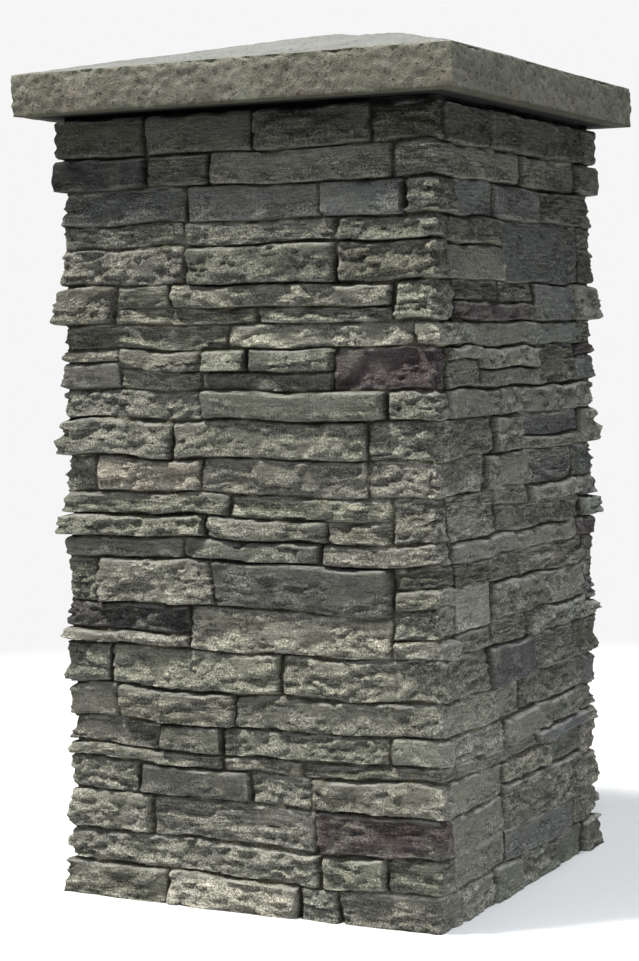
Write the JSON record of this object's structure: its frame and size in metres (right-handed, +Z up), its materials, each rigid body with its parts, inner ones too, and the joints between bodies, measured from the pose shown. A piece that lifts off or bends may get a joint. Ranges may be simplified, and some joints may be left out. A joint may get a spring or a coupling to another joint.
{
  "type": "slate column wrap",
  "caption": "Square column wrap of moulded stacked slate, hollow for a post, with a peaked cap that overhangs it.",
  "frame": {"origin": "centre of the underside, on the ground", "axes": "+Z up along the column, -Y out of the front face, +X out of the right face"},
  "size_m": [0.7, 0.7, 1.2803],
  "materials": {
    "moulded_slate": "matt moulded foam painted as split grey-green slate, a few stones wine, violet and blue grey",
    "cap_stone": "matt moulded foam painted as a hewn grey-olive slab, with a paler top"
  },
  "bodies": {
    "root": {"front_panel": "moulded_slate", "back_panel": "moulded_slate", "right_panel": "moulded_slate", "left_panel": "moulded_slate", "cap": "cap_stone"}
  },
  "joints": []
}
